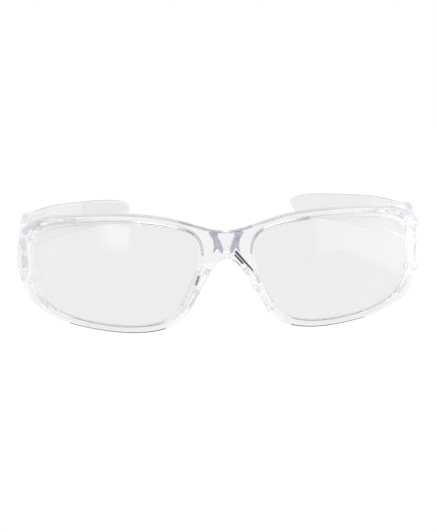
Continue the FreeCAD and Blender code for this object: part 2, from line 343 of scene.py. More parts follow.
class Shape:
    """Sheets of points gathered into one closed mesh; where they meet, they are welded."""

    def __init__(self):
        self.points = []
        self.faces = []

    def add(self, points):
        first = len(self.points)
        self.points += [tuple(point) for point in points]
        return range(first, len(self.points))

    def sheet(self, rows, closed=False):
        """Quads between rows that have the same number of points."""
        numbered = [self.add(row) for row in rows]
        for row, other in zip(numbered, numbered[1:]):
            for i in range(len(row) - (0 if closed else 1)):
                after = (i + 1) % len(row)
                self.faces.append((row[i], row[after], other[after], other[i]))

    def cap(self, loop):
        """Fan of triangles that closes a loop."""
        rim = self.add(loop)
        middle = self.add([np.mean(np.array(loop), axis=0)])[0]
        for i in range(len(rim)):
            self.faces.append((rim[i], rim[(i + 1) % len(rim)], middle))

    def mirrored(self):
        """The same shape on the other side of the face."""
        other = Shape()
        other.points = [(-x, y, z) for x, y, z in self.points]
        other.faces = [face[::-1] for face in self.faces]
        return other

    def object(self, name):
        mesh = bpy.data.meshes.new(name)
        mesh.from_pydata(self.points, [], self.faces)
        clean(mesh)
        made = bpy.data.objects.new(name, mesh)
        bpy.context.scene.collection.objects.link(made)
        return made


def clean(mesh):
    """Welds the sheets, drops what that leaves without area, and turns every face outwards."""
    work = bmesh.new()
    work.from_mesh(mesh)
    bmesh.ops.remove_doubles(work, verts=work.verts, dist=WELD_MM)
    bmesh.ops.dissolve_degenerate(work, edges=work.edges, dist=WELD_MM / 10)
    bmesh.ops.recalc_face_normals(work, faces=work.faces)
    work.to_mesh(mesh)
    work.free()


def combine(base, operation, *tools):
    """Unites base with other closed objects, or cuts them from it, and uses them up."""
    for tool in tools:
        step = base.modifiers.new(operation.lower(), "BOOLEAN")
        step.operation = operation
        step.solver = "MANIFOLD"
        step.object = tool
    mesh = bpy.data.meshes.new_from_object(
        base.evaluated_get(bpy.context.evaluated_depsgraph_get())
    )
    base.modifiers.clear()
    base.data = mesh
    for tool in tools:
        bpy.data.objects.remove(tool)
    clean(mesh)
    return base


def prism(name, loop, low, high, edge, to_space):
    """Straight bar over a closed 2-D loop, its two ends rounded by edge."""
    loop = np.array(loop, float)
    inner = loop - outward(loop, True) * edge
    shape = Shape()
    rows = [to_space(inner, low)]
    if edge:
        corner = to_space(loop, low)
        rows = rounded(to_space(inner, low), corner, to_space(loop, low + edge), 3)
        rows += between(rows[-1], to_space(loop, high - edge), 2)
        rows += rounded(rows[-1], to_space(loop, high), to_space(inner, high), 3)[1:]
    else:
        rows += between(rows[0], to_space(loop, high), 2)
    shape.sheet(rows, closed=True)
    shape.cap(rows[0])
    shape.cap(rows[-1])
    return shape.object(name)


def upwards(loop, height):
    """Plan points (X, Y) carried up to a height."""
    return np.column_stack([loop, np.full(len(loop), height)])


def backwards(loop, depth):
    """Front-view points (X, Z) at a depth."""
    return np.column_stack([loop[:, 0], np.full(len(loop), depth), loop[:, 1]])


def circle(radius, count=40, middle=(0.0, 0.0), turn=(0.0, 360.0)):
    """Points of a circle or, between two angles, an arc, drawn clockwise."""
    whole = turn[1] - turn[0] == 360.0
    angles = np.radians(np.linspace(turn[1], turn[0], count, endpoint=not whole))
    return np.column_stack(
        [middle[0] + radius * np.cos(angles), middle[1] + radius * np.sin(angles)]
    )


def rod(name, radius, start, direction, length):
    """Round bar from start along direction."""
    bar = prism(name, circle(radius), 0.0, length, 0.0, upwards)
    turn = Vector((0, 0, 1)).rotation_difference(Vector(direction))
    bar.data.transform(Matrix.Translation(Vector(start)) @ turn.to_matrix().to_4x4())
    return bar


# --- Front ------------------------------------------------------------------------------

OUTLINE = spline(HALF_OUTLINE, start=(1, 0), end=(-1, 0))
OPENING = spline(LENS_OPENING[::-1], closed=True)
OPENING_AROUND = OPENING[:-1] - LENS_MIDDLE
OPENING_ANGLES = np.arctan2(OPENING_AROUND[:, 1], OPENING_AROUND[:, 0])
OPENING_REACHES = np.linalg.norm(OPENING_AROUND, axis=1)[np.argsort(OPENING_ANGLES)]
OPENING_ANGLES = np.sort(OPENING_ANGLES)


# Points of the half outline and down the bridge's middle, and rows from there to the opening
OUTLINE_POINTS = 260
MIDDLE_POINTS = 10
FACE_ROWS = 7


def inset_outline(outline, normals, distance):
    """Half outline moved inwards, with both ends kept on the middle plane."""
    loop = outline - normals * distance
    loop[[0, -1], 0] = 0
    return loop


def closed_outline(outline, normals, distance):
    """Inset half outline, closed by points down the middle of the bridge."""
    loop = inset_outline(outline, normals, distance)
    middle = np.linspace(loop[-1], loop[0], MIDDLE_POINTS)[1:-1]
    return np.vstack([loop, middle])


def outer_edge(outline, normals):
    """Rows round the outer edge from the front face to the back one, both corners rounded."""
    front_edge = on_sphere(outline, RIM_FRONT_RADIUS)
    back_edge = on_sphere(outline, RIM_BACK_RADIUS)
    front_face = on_sphere(inset_outline(outline, normals, FRONT_ROUND), RIM_FRONT_RADIUS)
    back_face = on_sphere(inset_outline(outline, normals, BACK_ROUND), RIM_BACK_RADIUS)
    rows = rounded(front_face, front_edge, front_edge + (0, FRONT_ROUND, 0), 5)
    rows += between(rows[-1], back_edge - (0, BACK_ROUND, 0), 4)
    rows += rounded(rows[-1], back_edge, back_face, 4)[1:]
    return rows


def opening_wall(opening, away, front_row, back_row):
    """Rows through the lens opening from the front face to the back one, with the groove."""
    groove = opening + away * (LENS_BITE + SEAT_CLEARANCE)
    step = np.array([0, OPENING_ROUND, 0])
    mouth = on_sphere(opening, RIM_FRONT_RADIUS)
    rear = on_sphere(opening, RIM_BACK_RADIUS)
    wall = rounded(front_row, mouth, mouth + step, 3)
    for loop, radius in (
        (opening, LENS_FRONT_RADIUS + SEAT_CLEARANCE),
        (groove, LENS_FRONT_RADIUS + SEAT_CLEARANCE),
        (groove, LENS_BACK_RADIUS - SEAT_CLEARANCE),
        (opening, LENS_BACK_RADIUS - SEAT_CLEARANCE),
    ):
        wall.append(on_sphere(loop, radius))
    wall += rounded(rear - step, rear, back_row, 3)
    return wall


def front_half():
    """Left half of the rim with its lens groove, closed down the middle."""
    outline = evenly(OUTLINE, OUTLINE_POINTS)
    normals = outward(outline, False)
    normals[0] = (0, 1)
    normals[-1] = (0, -1)
    shape = Shape()
    edge = outer_edge(outline, normals)
    shape.sheet(edge)
    for end in (0, -1):
        shape.cap([row[end] for row in edge])

    outer_front = closed_outline(outline, normals, FRONT_ROUND)
    outer_back = closed_outline(outline, normals, BACK_ROUND)
    opening = opening_facing(outer_front)
    away = outward(opening, True)
    wide = opening + away * OPENING_ROUND
    front_rows, back_rows = (
        [on_sphere(loop, radius) for loop in [outer] + between(outer, wide, FACE_ROWS)]
        for outer, radius in ((outer_front, RIM_FRONT_RADIUS), (outer_back, RIM_BACK_RADIUS))
    )
    shape.sheet(front_rows, closed=True)
    shape.sheet(back_rows, closed=True)
    shape.sheet(opening_wall(opening, away, front_rows[-1], back_rows[-1]), closed=True)
    shape.sheet([
        on_sphere(np.vstack([outer[OUTLINE_POINTS - 1:], outer[:1]]), radius)
        for outer, radius in ((outer_front, RIM_FRONT_RADIUS), (outer_back, RIM_BACK_RADIUS))
    ])
    return shape


def opening_facing(loop):
    """Points of the lens opening that lie in about the same directions from its middle as loop's."""
    aim = loop - LENS_MIDDLE
    turned = np.unwrap(np.arctan2(aim[:, 1], aim[:, 0]))
    spread = 7
    round_again = np.concatenate(
        [turned[-spread:] + 2 * math.pi, turned, turned[:spread] - 2 * math.pi]
    )
    window = np.ones(2 * spread + 1) / (2 * spread + 1)
    wanted = np.convolve(round_again, window, mode="valid")
    found = np.interp(wanted, OPENING_ANGLES, OPENING_REACHES, period=2 * math.pi)
    return LENS_MIDDLE + np.column_stack([np.cos(wanted), np.sin(wanted)]) * found[:, None]


def block(name, upper, lower):
    """Thickening behind the rim between two edges, given from the same side."""
    rows = [evenly(spline(edge), 24) if len(edge) > 2 else evenly(np.array(edge, float), 24)
            for edge in (upper, lower)]
    across = [rows[0]] + between(rows[0], rows[1], 6)
    front = [on_sphere(row, RIM_BACK_RADIUS + BLOCK_OVERLAP) for row in across]
    back = [on_sphere(row, BLOCK_BACK_RADIUS) for row in across]
    shape = Shape()
    shape.sheet(front)
    shape.sheet(back)
    for side in (0, -1):
        shape.sheet([front[side], back[side]])
        shape.sheet([[row[side] for row in front], [row[side] for row in back]])
    return shape.object(name)


def lug(name, bottom):
    """Hinge lug: a web from the wrapped end to a boss about the hinge axis."""
    web = [
        (AXIS_X + BARREL_RADIUS, AXIS_Y - LUG_WEB_OUTER_REACH),
        (AXIS_X - BARREL_RADIUS, AXIS_Y - LUG_WEB_INNER_REACH),
    ]
    boss = circle(BARREL_RADIUS, 24, (AXIS_X, AXIS_Y), (0.0, 180.0))
    loop = np.vstack([boss, web])
    return prism(name, loop, bottom, bottom + LUG_HEIGHT, LUG_ROUND, upwards)


def pin_room(name, seat, direction):
    """Stepped hole that a pin sits in."""
    start = (AXIS_X, AXIS_Y, seat - direction * CUT_MARGIN)
    head = rod(
        name, PIN_HEAD_RADIUS + PIN_CLEARANCE, start, (0, 0, direction),
        CUT_MARGIN + PIN_HEAD_HEIGHT + PIN_CLEARANCE,
    )
    shank = rod(
        "shank", PIN_RADIUS + PIN_CLEARANCE, start, (0, 0, direction),
        LUG_HEIGHT + 2 * CUT_MARGIN,
    )
    return combine(head, "UNION", shank)


def nose_side(bottom, top, count):
    """Points up the left side of the nose arch, and the way from each into the rim."""
    flank = OUTLINE[len(OUTLINE) * 3 // 4:]
    flank = flank[(flank[:, 1] > bottom) & (flank[:, 1] < top)]
    points = evenly(flank, count)
    return points, -outward(points, False)


def nose_flange():
    """Flange that runs back and outwards from the left side of the nose arch."""
    points, inwards = nose_side(FLANGE_BOTTOM, FLANGE_TOP, 41)
    length = np.linalg.norm(FLANGE_SPLAY)
    direction = FLANGE_SPLAY / length
    radius = FLANGE_THICKNESS / 2
    end = circle(radius, 13, (radius, 0.0), (0.0, 180.0))
    rows = []
    for i, (point, inward) in enumerate(zip(points, inwards)):
        share = 2 * i / (len(points) - 1) - 1
        reach = length * (1 - FLANGE_END_LOSS * share**6) - radius
        section = [(0.0, 0.0)] + [(u, reach + w) for u, w in end] + [(FLANGE_THICKNESS, 0.0)]
        section = [(max(u, FLANGE_SET_IN), w) for u, w in section]
        rows.append([
            np.array([point[0] + inward[0] * u, FLANGE_START_Y, point[1] + inward[1] * u])
            + direction * w
            for u, w in section
        ])
    shape = Shape()
    shape.sheet(rows, closed=True)
    shape.cap(rows[0])
    shape.cap(rows[-1])
    return shape.object("flange")


def stud_line():
    """Middle of the left pad on its flange, and the direction from the nose outwards."""
    height = (PAD_BOTTOM + PAD_TOP) / 2
    return (STUD_X, FLANGE_START_Y + FLANGE_SPLAY[1] * STUD_SHARE, height), STUD_DIRECTION


def front_frame():
    """Whole front: the left half with all that is moulded on it, mirrored, and then the bridge."""
    half = front_half().object("front")
    combine(
        half, "UNION",
        block("brow_block", BROW_BLOCK_TOP, BROW_BLOCK_BOTTOM),
        block("lower_block", LOWER_BLOCK_TOP, LOWER_BLOCK_BOTTOM),
        lug("lower_lug", LOWER_LUG_BOTTOM),
        lug("upper_lug", UPPER_LUG_BOTTOM),
        nose_flange(),
    )
    point, direction = stud_line()
    combine(
        half, "DIFFERENCE",
        pin_room("upper_room", UPPER_LUG_BOTTOM + LUG_HEIGHT, -1),
        pin_room("lower_room", LOWER_LUG_BOTTOM, 1),
        rod("stud_room", STUD_RADIUS + PAD_CLEARANCE, point, direction, STUD_REACH + CUT_MARGIN),
    )
    whole_from_half(half)
    bridge = hollow(BRIDGE_HOLLOW, HOLLOW_DEPTH)
    rooms = [bridge, bridge.mirrored()] + [hollow(crease, CREASE_DEPTH) for crease in CREASES]
    combine(half, "DIFFERENCE", *(room.object("hollow") for room in rooms))
    side = evenly(np.array(HALF_POST), 16)
    post = np.vstack([side, side[::-1] * (-1, 1)])[::-1]
    return combine(
        half, "UNION", prism("post", post, POST_FRONT_Y, POST_BACK_Y, POST_ROUND, backwards)
    )


HOLLOW_POINTS = 66
HOLLOW_RINGS = 6


def hollow(corners, depth):
    """Room for a hollow in the back of the front, over a loop of corners (X, Z)."""
    corners = np.array(corners)
    loop = evenly(np.vstack([corners, corners[:1]]), HOLLOW_POINTS, closed=True)
    middle = loop.mean(axis=0)
    rings = [middle + (loop - middle) * share for share in np.linspace(1, 0, HOLLOW_RINGS)]
    ends = (RIM_BACK_RADIUS + depth, RIM_BACK_RADIUS - CUT_MARGIN)
    shape = Shape()
    for radius in ends:
        shape.sheet([on_sphere(ring, radius) for ring in rings], closed=True)
    shape.sheet([on_sphere(loop, radius) for radius in ends], closed=True)
    return shape


def whole_from_half(half):
    """Opens the cut down the middle and welds a mirrored copy on."""
    work = bmesh.new()
    work.from_mesh(half.data)
    middle = [f for f in work.faces if all(abs(v.co.x) < WELD_MM for v in f.verts)]
    bmesh.ops.delete(work, geom=middle, context="FACES")
    bmesh.ops.mirror(
        work, geom=work.verts[:] + work.edges[:] + work.faces[:], axis="X", merge_dist=WELD_MM
    )
    work.to_mesh(half.data)
    work.free()
    clean(half.data)


# --- Lens -------------------------------------------------------------------------------

def lens():
    """Left lens: two spheres of the wrap, with the edge that sits in the groove."""
    edge = evenly(OPENING, 240, closed=True)
    edge = edge + outward(edge, True) * LENS_BITE
    inner = edge - outward(edge, True) * LENS_EDGE_ROUND
    rings = [LENS_MIDDLE + (inner - LENS_MIDDLE) * share for share in np.linspace(1, 0, 28)]
    front = [on_sphere(ring, LENS_FRONT_RADIUS) for ring in rings]
    back = [on_sphere(ring, LENS_BACK_RADIUS) for ring in rings]
    step = np.array([0, LENS_EDGE_ROUND, 0])
    front_edge = on_sphere(edge, LENS_FRONT_RADIUS)
    back_edge = on_sphere(edge, LENS_BACK_RADIUS)
    wall = rounded(front[0], front_edge, front_edge + step, 2)
    wall += rounded(back_edge - step, back_edge, back[0], 2)
    shape = Shape()
    shape.sheet(front, closed=True)
    shape.sheet(back, closed=True)
    shape.sheet(wall, closed=True)
    return shape


# --- Temple -----------------------------------------------------------------------------

class TempleCurve:
    """Middle surface of the left temple: a length along it and a height give a place."""

    def __init__(self):
        a, b, c, d = (np.array(pole, float) for pole in TEMPLE_PLAN_POLES)
        t = np.linspace(0, 1, 1200)[:, None]
        outer = (1 - t)**3 * a + 3 * t * (1 - t)**2 * b + 3 * t**2 * (1 - t) * c + t**3 * d
        along = np.gradient(outer, axis=0)
        inwards = np.column_stack([-along[:, 1], along[:, 0]])
        self.inwards = inwards / np.linalg.norm(inwards, axis=1)[:, None]
        self.middle = outer + self.inwards * TEMPLE_THICKNESS / 2
        steps = np.linalg.norm(np.diff(self.middle, axis=0), axis=1)
        self.length = np.concatenate([[0], np.cumsum(steps)])

    def unrolled(self, points):
        """(Y, Z) points as length along the temple and height."""
        points = np.array(points, float)
        length = np.interp(points[:, 0], self.middle[:, 1], self.length)
        return np.column_stack([length, points[:, 1]])

    def place(self, flat, inwards):
        """Flat points (length, height), moved inwards from the middle, as points in space."""
        x, y, nx, ny = (
            np.interp(flat[:, 0], self.length, column)
            for column in (*self.middle.T, *self.inwards.T)
        )
        return np.column_stack([x + nx * inwards, y + ny * inwards, flat[:, 1]])


TEMPLE = TempleCurve()


def temple_edges():
    """Top and bottom edges of the temple, both to its tip, and the corners of its notch."""
    tip = [TEMPLE_TIP]
    top = evenly(spline(TEMPLE.unrolled(TEMPLE_TOP + tip), end=(0, -1)), 110)
    bottom = evenly(spline(TEMPLE.unrolled(TEMPLE_BOTTOM + tip), end=(0, 1)), 110)
    notch = TEMPLE.unrolled([(NOTCH_BACK_Y, NOTCH_BOTTOM), (TEMPLE_FRONT_Y, NOTCH_BOTTOM)])
    return top, bottom, notch


def temple():
    """Left side arm, with its hinge barrel and the notch that clears the upper lug."""
    top, bottom, notch = temple_edges()
    front = np.vstack([between(notch[1], bottom[0], 8)[:-1]])
    climb = np.vstack([between(top[0], notch[0], 4)[:-1]])
    outline = np.vstack([bottom[::-1], front[::-1], notch[::-1], climb[::-1], top[:-1]])
    normals = outward(outline, True)
    half = TEMPLE_THICKNESS / 2
    core = half - TEMPLE_ROUND
    rows = []
    for angle in np.radians(np.linspace(90, -90, 13)):
        inset = TEMPLE_ROUND * (1 - math.cos(angle))
        depth = TEMPLE_ROUND * math.sin(angle) + core * np.sign(angle)
        rows.append(TEMPLE.place(outline - normals * inset, depth))
    shape = Shape()
    shape.sheet(rows, closed=True)
    flat = outline - normals * TEMPLE_ROUND
    for depth in (half, -half):
        fill_temple_face(shape, flat, depth, len(top), len(front) + len(notch) + len(climb))
    arm = shape.object("temple")
    low = LOWER_LUG_BOTTOM + LUG_HEIGHT + HINGE_GAP
    barrel = prism(
        "barrel", circle(BARREL_RADIUS, 48, (AXIS_X, AXIS_Y)), low, NOTCH_BOTTOM, BARREL_ROUND,
        upwards,
    )
    combine(arm, "UNION", barrel)
    bore = PIN_RADIUS + BORE_CLEARANCE
    reach = PIN_REACH + HINGE_GAP + CUT_MARGIN
    combine(
        arm, "DIFFERENCE",
        rod("low_bore", bore, (AXIS_X, AXIS_Y, low - CUT_MARGIN), (0, 0, 1), reach),
        rod("high_bore", bore, (AXIS_X, AXIS_Y, NOTCH_BOTTOM + CUT_MARGIN), (0, 0, -1), reach),
    )
    return arm


def fill_temple_face(shape, flat, depth, along, front_count):
    """Flat face inside the rounded edge: columns from the front to the tip."""
    bottom = flat[:along][::-1]
    top = np.vstack([flat[along + front_count:], bottom[-1:]])
    front = flat[along:along + front_count][::-1]
    first = np.vstack([top[:1], front, bottom[:1]])
    rows = len(first) - 1
    columns = [first]
    for upper, lower in zip(top[1:], bottom[1:]):
        columns.append(np.vstack([[upper], between(upper, lower, rows)]))
    shape.sheet([TEMPLE.place(column, depth) for column in columns])


def panel_room():
    """Room for the panel sunk into a temple's inner face near its tip, as if on the left."""
    corners = TEMPLE.unrolled(PANEL)
    loop = evenly(np.vstack([corners, corners[:1]]), 90, closed=True)
    middle = loop.mean(axis=0)
    rings = [middle + (loop - middle) * share for share in np.linspace(1, 0, 10)]
    low = TEMPLE_THICKNESS / 2 - PANEL_DEPTH
    depths = (low, low + PANEL_DEPTH + CUT_MARGIN)
    shape = Shape()
    for depth in depths:
        shape.sheet([TEMPLE.place(ring, depth) for ring in rings], closed=True)
    shape.sheet([TEMPLE.place(loop, depth) for depth in depths], closed=True)
    return shape


# --- Nose pad ---------------------------------------------------------------------------

def nose_pad():
    """Soft left nose pad: a crowned blade on its flange, with the stud that holds it."""
    points, inwards = nose_side(PAD_BOTTOM, PAD_TOP, 33)
    length = np.linalg.norm(FLANGE_SPLAY)
    direction = FLANGE_SPLAY / length
    shares = np.linspace(0, 1, 17)
    front = []
    back = []
    for i, (point, inward) in enumerate(zip(points, inwards)):
        level = abs(2 * i / (len(points) - 1) - 1)
        shrink = math.sqrt(max(0.0, 1 - level**5))
        front_row = []
        back_row = []
        for share in shares:
            across = abs(2 * share - 1)
            crown = shrink * math.sqrt(max(0.0, 1 - across**4))
            width = PAD_END_WIDTH + (1 - PAD_END_WIDTH) * shrink
            spread = 0.5 + (share - 0.5) * width
            along = length * (PAD_START_SHARE + PAD_LENGTH_SHARE * spread)
            base = np.array([point[0], FLANGE_START_Y, point[1]]) + direction * along
            way = np.array([inward[0], 0.0, inward[1]])
            back_row.append(base - way * PAD_CLEARANCE)
            front_row.append(base - way * (PAD_CLEARANCE + PAD_THICKNESS * crown))
        front.append(front_row)
        back.append(back_row)
    shape = Shape()
    shape.sheet(front)
    shape.sheet(back)
    pad = shape.object("nose_pad")
    point, way = stud_line()
    return combine(pad, "UNION", rod("stud", STUD_RADIUS, point, way, STUD_REACH))


# --- Placing ----------------------------------------------------------------------------

def placement():
    """Matrix from the front's own frame in millimetres to the row frame in metres."""
    joint = next(j for j in frame["joints"] if j["name"] == "left_fold")
    lean = math.atan2(joint["axis"][1], joint["axis"][2])
    turn = Matrix.Rotation(-lean, 4, "X") @ Matrix.Scale(0.001, 4)
    return Matrix.Translation(Vector(joint["pos_m"]) - turn @ HINGE_MIDDLE) @ turn


PLACE = placement()


def finished(piece, name, body, material):
    """Places a piece, shades it, and has it stand for its CAD node."""
    piece.name = name + "_shell"
    piece.data.transform(PLACE)
    piece.data.materials.clear()
    piece.data.materials.append(material)
    piece.data.shade_smooth()
    piece.data.set_sharp_from_angle(angle=SHARP_ANGLE)
    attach(piece, body)
    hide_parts(name)
    return piece


def surfaced(piece, material, belongs):
    """Gives a second material to the faces that belongs accepts by middle and normal."""
    piece.data.materials.append(material)
    number = len(piece.data.materials) - 1
    back = PLACE.inverted()
    turn = back.to_3x3().normalized()
    for face in piece.data.polygons:
        if belongs(back @ face.center, turn @ face.normal):
            face.material_index = number


def from_wrap_centre(point):
    return (point - Vector((0, WRAP_Y, WRAP_Z))).length


def in_bridge_painted_shade(point, normal):
    """Floor of a hollow behind the bridge, or the brow's top edge above it, where dark violet
    painted shade goes.
    """
    if point.z < FLANGE_TOP or normal.z > SQUARE_ON:
        return normal.z > SQUARE_ON and any(low < point.x < high for low, high in PAINTED_SHADE_TOPS)
    sunk = abs(from_wrap_centre(point) - RIM_BACK_RADIUS - HOLLOW_DEPTH) < FLOOR_TOLERANCE
    return sunk and abs(point.x) < HOLLOW_HALF_WIDTH


def gets_painted_dark_shade(point, normal):
    """Floor of a crease, with painted shade, or a stretch of the lower front edge, with a painted
    dark reflection.
    """
    radius = from_wrap_centre(point)
    if abs(radius - RIM_BACK_RADIUS - CREASE_DEPTH) < FLOOR_TOLERANCE:
        placed = abs(point.x) < CREASES_HALF_WIDTH and point.z > CREASES_BOTTOM
        return placed and abs(normal.y) > SQUARE_ON
    low = normal.z < PAINTED_SHADE_EDGE_FACING and point.z < PAINTED_SHADE_EDGE_TOP
    on_edge = RIM_FRONT_RADIUS - FRONT_ROUND < radius < RIM_FRONT_RADIUS - FLOOR_TOLERANCE
    return low and on_edge and any(start < point.x < end for start, end in PAINTED_SHADE_EDGES)


def faces_away_from_lens(point, normal):
    away = Vector((abs(point.x) - LENS_MIDDLE[0], 0, point.z - LENS_MIDDLE[1]))
    across = Vector((math.copysign(normal.x, normal.x * point.x), 0, normal.z))
    return across.dot(away) > 0


def outline_painted_shade(point, normal):
    """Outer edge of the brow and of the wrapped ends, except where it turns to the face: grey
    painted shade.
    """
    radius = from_wrap_centre(point)
    turned = normal.dot(point - Vector((0, WRAP_Y, WRAP_Z))) < OUTLINE_TURN * radius
    deep = RIM_BACK_RADIUS + HOLLOW_DEPTH + FLOOR_TOLERANCE < radius
    placed = point.z > OUTLINE_BROW_Z or abs(point.x) > OUTLINE_END_X
    outer = faces_away_from_lens(point, normal) and point.y < HINGE_END_Y
    return placed and deep and turned and outer


def temple_top_painted_shade(point, normal):
    """Rounded top edge of a temple, behind its hinge end: grey painted shade."""
    return normal.z > TEMPLE_TOP_TURN and point.y > TEMPLE_TOP_START_Y


def in_groove(point, normal):
    """Walls of the lens groove, and the rim of a lens that they hold."""
    radius = from_wrap_centre(point)
    inside = LENS_BACK_RADIUS - GROOVE_TOLERANCE < radius < LENS_FRONT_RADIUS + GROOVE_TOLERANCE
    return inside and (
        abs(normal.y) > ACROSS_THE_GROOVE or not faces_away_from_lens(point, normal)
    )


def on_untinted_front(point, normal):
    """Lens groove, nose flanges and hinge ends, which are polished clear."""
    behind = from_wrap_centre(point) < RIM_BACK_RADIUS + BLOCK_OVERLAP
    flange = behind and abs(point.x) < FLANGES_HALF_WIDTH and point.z < FLANGES_TOP
    return in_groove(point, normal) or flange or point.y > HINGE_END_Y


def on_brow_block(point, normal):
    """Thickening behind the outer end of the brow."""
    behind = from_wrap_centre(point) < RIM_BACK_RADIUS - BROW_BLOCK_TOLERANCE
    return behind and BROW_BLOCK_X[0] < abs(point.x) < BROW_BLOCK_X[1] and point.z > LENS_MIDDLE[1]


def on_lens_rim(point, normal):
    """Edge of a lens, as far as the groove hides it."""
    flat = np.array((abs(point.x), point.z)) - LENS_MIDDLE
    reach = np.interp(
        math.atan2(flat[1], flat[0]), OPENING_ANGLES, OPENING_REACHES, period=2 * math.pi
    )
    return np.linalg.norm(flat) > reach


def in_panel_painted_shade(point, normal):
    """Floor of the panel sunk into the right temple's inner face, which gets a darker painted shade.
    """
    plan = np.array((abs(point.x), point.y))
    away = plan - TEMPLE.middle
    reach = np.linalg.norm(away, axis=1)
    nearest = int(np.argmin(reach))
    facing = away[nearest] / reach[nearest] @ np.array((-normal.x, normal.y))
    sunk = abs(reach[nearest] - TEMPLE_THICKNESS / 2 + PANEL_DEPTH) < PANEL_DEPTH / 3
    return sunk and facing > PANEL_FACING and point.y > PANEL_START_Y


def mirrored_copy(piece):
    """The same object on the other side of the face."""
    copy = bpy.data.objects.new(piece.name + "_other", piece.data.copy())
    bpy.context.scene.collection.objects.link(copy)
    copy.data.transform(Matrix.Scale(-1, 4, (1, 0, 0)))
    copy.data.flip_normals()
    return copy


# --- Materials --------------------------------------------------------------------------

def smooth_step(nodes, link, value, ends, heights=(0.0, 1.0)):
    """Smooth rise of a value from the first height to the second between two ends."""
    rise = nodes.new("ShaderNodeMapRange")
    rise.interpolation_type = "SMOOTHSTEP"
    rise.inputs["From Min"].default_value = ends[0]
    rise.inputs["From Max"].default_value = ends[1]
    rise.inputs["To Min"].default_value = heights[0]
    rise.inputs["To Max"].default_value = heights[1]
    link(value, rise.inputs["Value"])
    return rise.outputs["Result"]


def product(nodes, link, first, second):
    both = nodes.new("ShaderNodeMath")
    both.operation = "MULTIPLY"
    link(first, both.inputs[0])
    link(second, both.inputs[1])
    return both.outputs["Value"]


POLYCARBONATE_IOR = 1.585
NEARLY_CLEAR = (0.97, 0.97, 0.97)
CLOUDS_PER_M = 45.0
HAIRLINES_PER_M = (250.0, 4000.0, 1200.0)
HAIRLINE_TURN = (0.3, 0.2, 0.7)
HAIRLINE_SHARES = (0.45, 0.8)
WAVES_PER_M = 110.0


def noise(nodes, link, place, per_metre, detail):
    texture = nodes.new("ShaderNodeTexNoise")
    texture.inputs["Scale"].default_value = per_metre
    texture.inputs["Detail"].default_value = detail
    link(place, texture.inputs["Vector"])
    return texture.outputs["Fac"]


def cloudy_tint(nodes, link, place, shade, lift, clouds_per_m):
    """Shade that faint clouds lift here and there."""
    clouds = noise(nodes, link, place, clouds_per_m, 3.0)
    colour = nodes.new("ShaderNodeMix")
    colour.data_type = "RGBA"
    colour.inputs["A"].default_value = (*shade, 1)
    colour.inputs["B"].default_value = (*(value + lift for value in shade), 1)
    link(clouds, colour.inputs["Factor"])
    return colour.outputs["Result"]


def hairline_gloss(nodes, link, place, roughness):
    """Roughness that runs from the first value to the second in hairlines."""
    stretch = nodes.new("ShaderNodeMapping")
    stretch.inputs["Scale"].default_value = HAIRLINES_PER_M
    stretch.inputs["Rotation"].default_value = HAIRLINE_TURN
    link(place, stretch.inputs["Vector"])
    hairlines = noise(nodes, link, stretch.outputs["Vector"], 1.0, 4.0)
    gloss = nodes.new("ShaderNodeMapRange")
    gloss.inputs["From Min"].default_value = HAIRLINE_SHARES[0]
    gloss.inputs["From Max"].default_value = HAIRLINE_SHARES[1]
    gloss.inputs["To Min"].default_value = roughness[0]
    gloss.inputs["To Max"].default_value = roughness[1]
    link(hairlines, gloss.inputs["Value"])
    return gloss.outputs["Result"]


def soft_waves(nodes, link, place, depth):
    """Normals of a surface that waves softly, by a depth in metres."""
    waves = noise(nodes, link, place, WAVES_PER_M, 1.0)
    bump = nodes.new("ShaderNodeBump")
    bump.inputs["Strength"].default_value = 1.0
    bump.inputs["Distance"].default_value = depth
    link(waves, bump.inputs["Height"])
    return bump.outputs["Normal"]


def clear_plastic(
    name, shade, roughness, wave_depth, ior=POLYCARBONATE_IOR, absorbs=None,
    lift=CLOUD_LIFT, clouds_per_m=CLOUDS_PER_M, clear_below=None,
):
    """Clear moulded plastic: faint clouds in the tint, hairlines in the gloss, soft waves.

    Absorbs is the colour and the density of what the plastic's thickness takes away.
    """
    material = bpy.data.materials.new(name)
    material.use_nodes = True
    nodes = material.node_tree.nodes
    link = material.node_tree.links.new
    surface = nodes["Principled BSDF"]
    surface.inputs["IOR"].default_value = ior
    surface.inputs["Transmission Weight"].default_value = 1.0
    place = nodes.new("ShaderNodeTexCoord").outputs["Object"]
    tint = cloudy_tint(nodes, link, place, shade, lift, clouds_per_m)
    if clear_below:
        tint = painted_shade_above(nodes, link, tint, place, clear_below)
    link(tint, surface.inputs["Base Color"])
    link(hairline_gloss(nodes, link, place, roughness), surface.inputs["Roughness"])
    link(soft_waves(nodes, link, place, wave_depth), surface.inputs["Normal"])
    if absorbs:
        tone, density = absorbs
        depth = nodes.new("ShaderNodeVolumeAbsorption")
        depth.inputs["Color"].default_value = (*tone, 1)
        depth.inputs["Density"].default_value = density
        link(depth.outputs["Volume"], nodes["Material Output"].inputs["Volume"])
    return material


def painted_shade_above(nodes, link, tint, place, heights):
    """Tint that thins out to nearly clear below a plane that drops towards the back; the grey kept
    above it is painted shade.
    """
    split = nodes.new("ShaderNodeSeparateXYZ")
    link(place, split.inputs["Vector"])
    level = nodes.new("ShaderNodeMath")
    level.operation = "MULTIPLY_ADD"
    level.inputs[1].default_value = TINT_SLOPE
    link(split.outputs["Y"], level.inputs[0])
    link(split.outputs["Z"], level.inputs[2])
    mixed = nodes.new("ShaderNodeMix")
    mixed.data_type = "RGBA"
    mixed.inputs["A"].default_value = (*NEARLY_CLEAR, 1)
    link(smooth_step(nodes, link, level.outputs["Value"], heights), mixed.inputs["Factor"])
    link(tint, mixed.inputs["B"])
    return mixed.outputs["Result"]


# --- Stage ------------------------------------------------------------------------------

